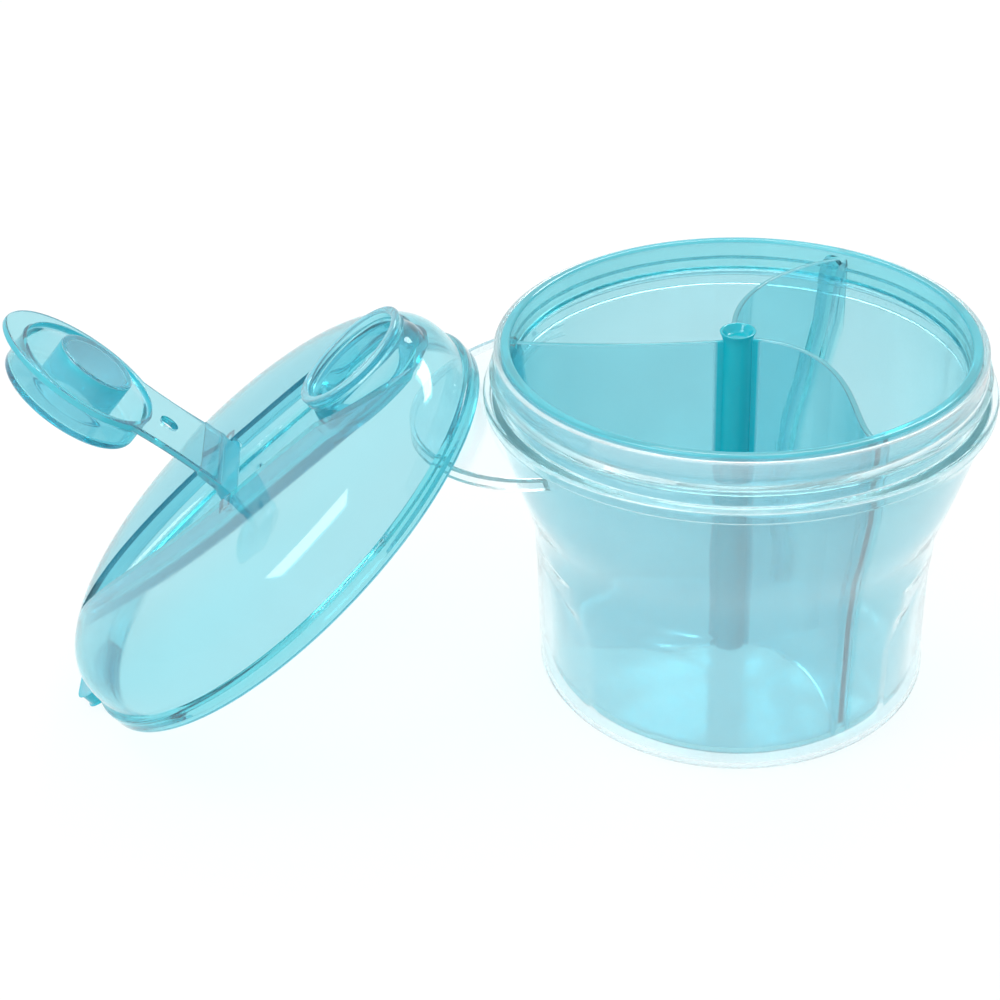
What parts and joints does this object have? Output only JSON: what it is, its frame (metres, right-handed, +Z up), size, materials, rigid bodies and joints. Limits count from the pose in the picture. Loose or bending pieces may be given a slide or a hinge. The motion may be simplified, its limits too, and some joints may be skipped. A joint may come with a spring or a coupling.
{
  "type": "formula dispenser",
  "caption": "Travel milk powder dispenser: clear outer cup with a lift ear, teal inner cup with a curved divider, and a domed lid with a spout and hinged flip cap.",
  "frame": {"origin": "centre of the outer cup's flat underside, on the surface that the part stands on", "axes": "+Z up along the cup's axis, -X towards the lift ear and the open lid beside the cup, +Y away from the front"},
  "size_m": [0.217, 0.1211, 0.0985],
  "materials": {
    "clear_plastic": "clear glossy moulded plastic",
    "teal_plastic": "see-through teal glossy moulded plastic",
    "lid_plastic": "see-through teal glossy moulded plastic"
  },
  "bodies": {
    "outer_cup": {"outer_cup": "clear_plastic"},
    "inner_cup": {"inner_cup": "teal_plastic"},
    "divider": {"divider": "teal_plastic"},
    "lid": {"lid": "lid_plastic"},
    "flip_cap": {"flip_cap": "lid_plastic"}
  },
  "joints": [
    {"name": "inner_cup_lift", "type": "slide", "parent": "outer_cup", "child": "inner_cup", "axis": [0, 0, 1], "range_m": [0, 0.085]},
    {"name": "divider_lift", "type": "slide", "parent": "inner_cup", "child": "divider", "axis": [0, 0, 1], "range_m": [0, 0.08]},
    {"name": "lid_lift", "type": "slide", "parent": "outer_cup", "child": "lid", "axis": [-0.6072, 0.0148, 0.7944], "range_m": [0, 0.08]},
    {"name": "flip_cap_hinge", "type": "hinge", "parent": "lid", "child": "flip_cap", "pos_m": [-0.11521, 0.00578, 0.05504], "axis": [-0.0822, 0.9933, -0.0814], "range_deg": [0, 100]}
  ]
}
